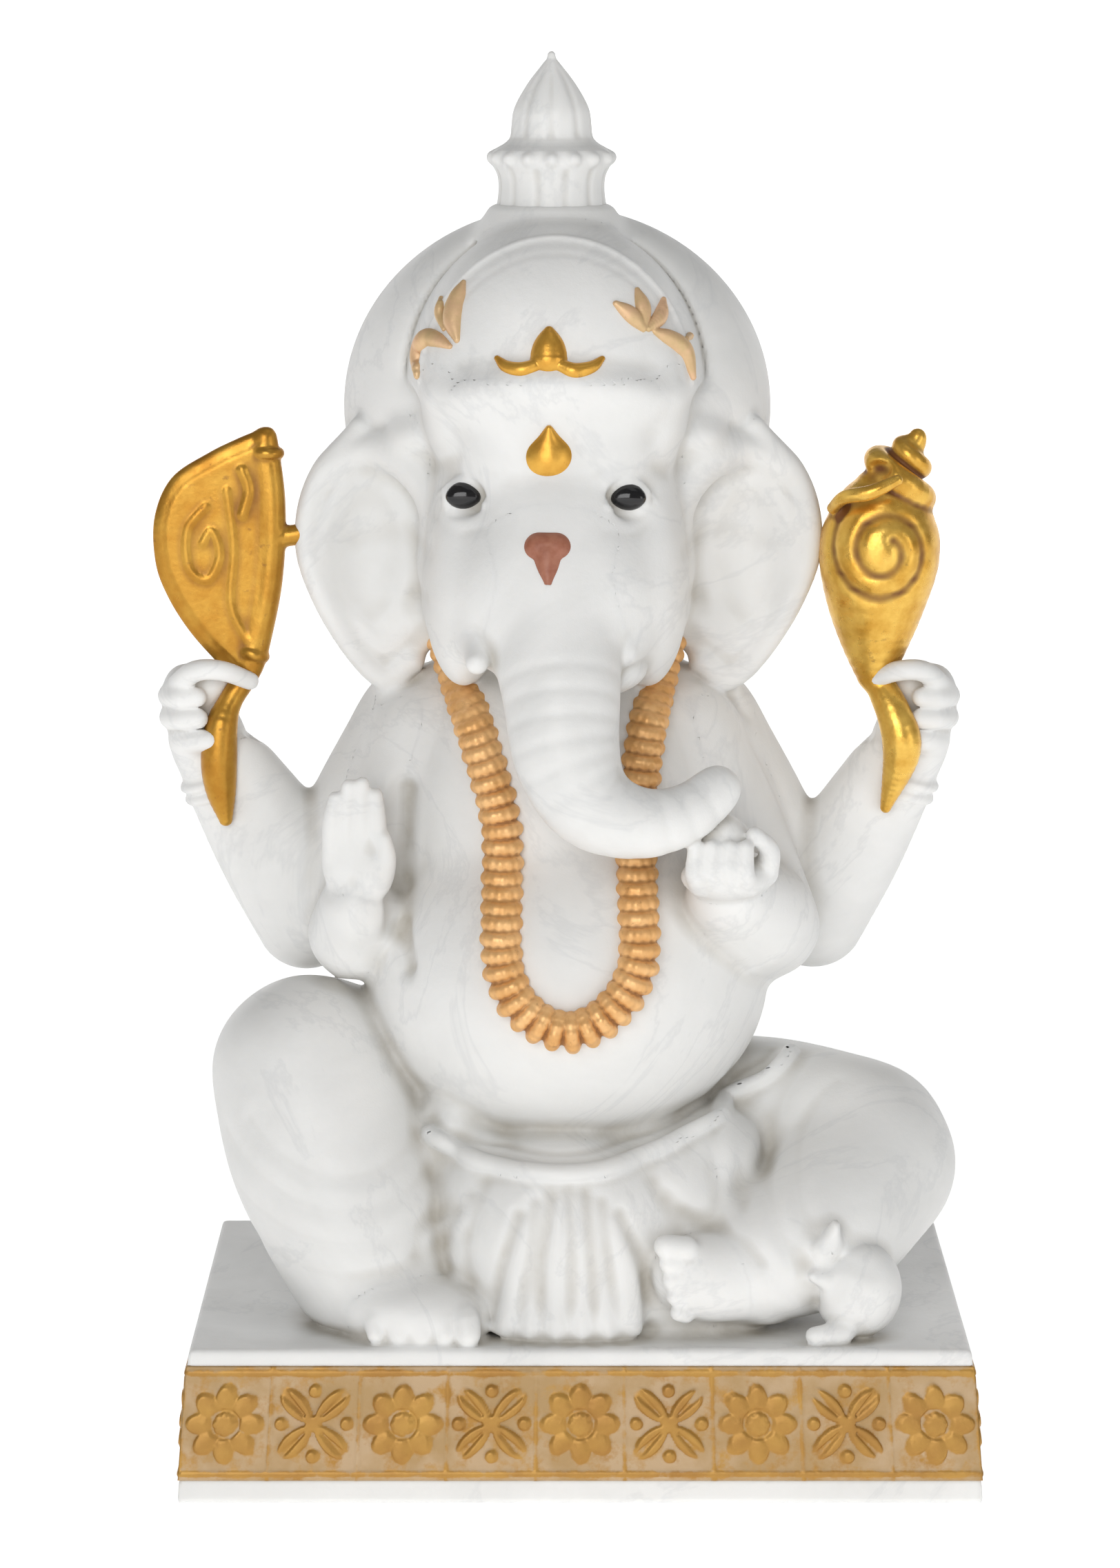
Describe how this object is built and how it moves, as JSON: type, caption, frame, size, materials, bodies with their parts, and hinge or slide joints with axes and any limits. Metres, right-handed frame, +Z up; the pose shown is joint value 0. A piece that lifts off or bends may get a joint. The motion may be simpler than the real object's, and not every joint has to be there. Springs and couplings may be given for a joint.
{
  "type": "ganesha idol",
  "caption": "Seated elephant-headed devotional figure with four arms, gilded axe, conch and garland, on a rectangular plinth with a carved band.",
  "frame": {"origin": "centre of the plinth's flat underside", "axes": "+Z up, the figure faces -Y, +X towards the figure's own left hand"},
  "size_m": [0.1171, 0.0779, 0.199],
  "materials": {
    "marble": "polished white marble with a faint waxy sheen",
    "gilt_relief": "carved relief painted antique gold, with brown in the hollows",
    "bright_gilding": "bright gold paint, semi-gloss",
    "eye_black": "gloss black enamel bead",
    "bindi_red": "dark red-brown paint",
    "pin_steel": "plain drawn dowel, hidden"
  },
  "bodies": {
    "root": {"axe": "bright_gilding", "bindi": "bindi_red", "centre_jewel": "gilt_relief", "conch": "bright_gilding", "crown_band": "marble", "crown_dome": "marble", "crown_front": "marble", "finial": "marble", "finial_pin": "pin_steel", "front_frieze": "gilt_relief", "front_left_arm": "marble", "front_left_hand": "marble", "front_pleats": "marble", "front_right_arm": "marble", "front_right_hand": "marble", "garland": "gilt_relief", "head": "marble", "left_crown_leaves": "gilt_relief", "left_ear": "marble", "left_eye": "eye_black", "left_foot": "marble", "left_frieze": "gilt_relief", "left_leg": "marble", "left_tusk": "marble", "mouse": "marble", "neck_pin": "pin_steel", "plinth": "marble", "plinth_pin_left": "pin_steel", "plinth_pin_right": "pin_steel", "rear_left_arm": "marble", "rear_left_hand": "marble", "rear_right_arm": "marble", "rear_right_hand": "marble", "right_crown_leaves": "gilt_relief", "right_ear": "marble", "right_eye": "eye_black", "right_foot": "marble", "right_frieze": "gilt_relief", "right_leg": "marble", "right_tusk": "marble", "sweet": "marble", "tilak": "gilt_relief", "torso": "marble", "trunk": "marble", "waist_sash": "marble"}
  },
  "joints": []
}
